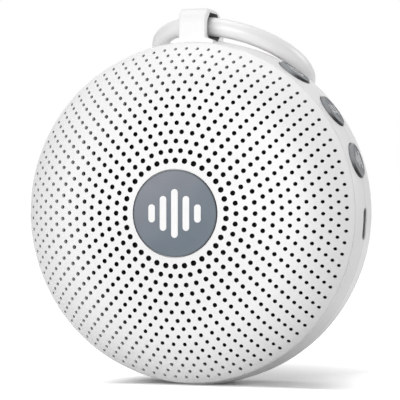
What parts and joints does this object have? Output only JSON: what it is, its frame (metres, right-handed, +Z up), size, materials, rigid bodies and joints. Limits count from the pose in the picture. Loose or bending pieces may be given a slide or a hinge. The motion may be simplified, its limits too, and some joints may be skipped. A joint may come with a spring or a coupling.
{
  "type": "white noise sound machine",
  "caption": "Round portable sound machine: perforated dome over a speaker, rim push buttons, USB-C port, strap loop and a clip ring to hang it by.",
  "frame": {"origin": "middle of the small flat under the rim that the body stands on, below the parting line of the two shells", "axes": "X to the right seen from the front, Y to the back through the dome and the back face, Z up through the strap loop"},
  "size_m": [0.098, 0.0664, 0.1067],
  "materials": {
    "white_shell": "satin",
    "white_dome": "satin",
    "white_loop": "satin",
    "white_ring": "satin",
    "cloth_black": "woven",
    "badge_grey": "satin",
    "bar_white": "print",
    "button_grey": "satin",
    "stem_dark": "satin",
    "switch_black": "satin",
    "flex_amber": "film",
    "bracket_grey": "moulded",
    "steel_bright": "plated",
    "tongue_black": "moulded",
    "board_green": "solder resist",
    "ribbon_white": "film",
    "chip_black": "moulded",
    "can_silver": "drawn",
    "connector_cream": "moulded",
    "battery_silver": "pouch",
    "foam_grey": "foam",
    "lead_red": "insulation",
    "lead_black": "insulation",
    "carrier_black": "moulded",
    "basket_black": "painted",
    "magnet_grey": "sintered",
    "steel_zinc": "zinc plated",
    "cone_dark": "pressed paper",
    "surround_rubber": "satin",
    "coil_copper": "enamelled wire",
    "spider_yellow": "woven",
    "rubber_grey": "matt"
  },
  "bodies": {
    "housing": {"front_grille": "white_dome", "rim_band": "white_shell", "rear_shell": "white_shell", "grille_cloth": "cloth_black", "centre_badge": "badge_grey", "badge_bars": "bar_white", "tact_switches": "switch_black", "button_flex": "flex_amber", "button_bracket": "bracket_grey", "usb_shell": "steel_bright", "usb_tongue": "tongue_black", "usb_board": "board_green", "usb_ribbon": "ribbon_white", "main_board": "board_green", "board_chips": "chip_black", "board_capacitors": "can_silver", "board_connectors": "connector_cream", "board_screws": "steel_zinc", "battery_pack": "battery_silver", "battery_foam": "foam_grey", "battery_leads": "lead_red", "speaker_leads": "lead_black", "speaker_carrier": "carrier_black", "speaker_basket": "basket_black", "speaker_top_plate": "steel_zinc", "speaker_magnet": "magnet_grey", "speaker_yoke": "steel_zinc", "speaker_cone": "cone_dark", "speaker_surround": "surround_rubber", "speaker_dust_cap": "cone_dark", "speaker_voice_coil": "coil_copper", "speaker_spider": "spider_yellow", "speaker_terminals": "connector_cream", "speaker_gasket": "foam_grey", "speaker_screws": "steel_zinc", "housing_screws": "steel_zinc", "foot_ring": "rubber_grey", "strap_loop": "white_loop"},
    "ring": {"hanging_ring": "white_ring", "gate_pin": "steel_bright"},
    "gate": {"ring_gate": "white_ring"},
    "lower_key": {"lower_button": "button_grey", "lower_stem": "stem_dark"},
    "middle_key": {"middle_button": "button_grey", "middle_stem": "stem_dark"},
    "upper_key": {"upper_button": "button_grey", "upper_stem": "stem_dark"}
  },
  "joints": [
    {"name": "ring_swing", "type": "hinge", "parent": "housing", "child": "ring", "pos_m": [0, 0.003, 0.10204], "axis": [0.9694, -0.2417, -0.0436], "range_deg": [-1, 235]},
    {"name": "gate_hinge", "type": "hinge", "parent": "ring", "child": "gate", "pos_m": [-0.00389, 0.04157, 0.08519], "axis": [-0.1424, -0.4083, -0.9017], "range_deg": [0, 30], "stiffness_Nm_per_rad": 0.004, "springref_deg": -28.65},
    {"name": "lower_press", "type": "slide", "parent": "housing", "child": "lower_key", "axis": [-0.9532, 0, -0.3024], "range_m": [0, 0.00035], "stiffness_N_per_m": 1500, "springref_m": -0.0002},
    {"name": "middle_press", "type": "slide", "parent": "housing", "child": "middle_key", "axis": [-0.8111, 0, -0.585], "range_m": [0, 0.00035], "stiffness_N_per_m": 1500, "springref_m": -0.0002},
    {"name": "upper_press", "type": "slide", "parent": "housing", "child": "upper_key", "axis": [-0.5892, 0, -0.808], "range_m": [0, 0.00035], "stiffness_N_per_m": 1500, "springref_m": -0.0002}
  ]
}
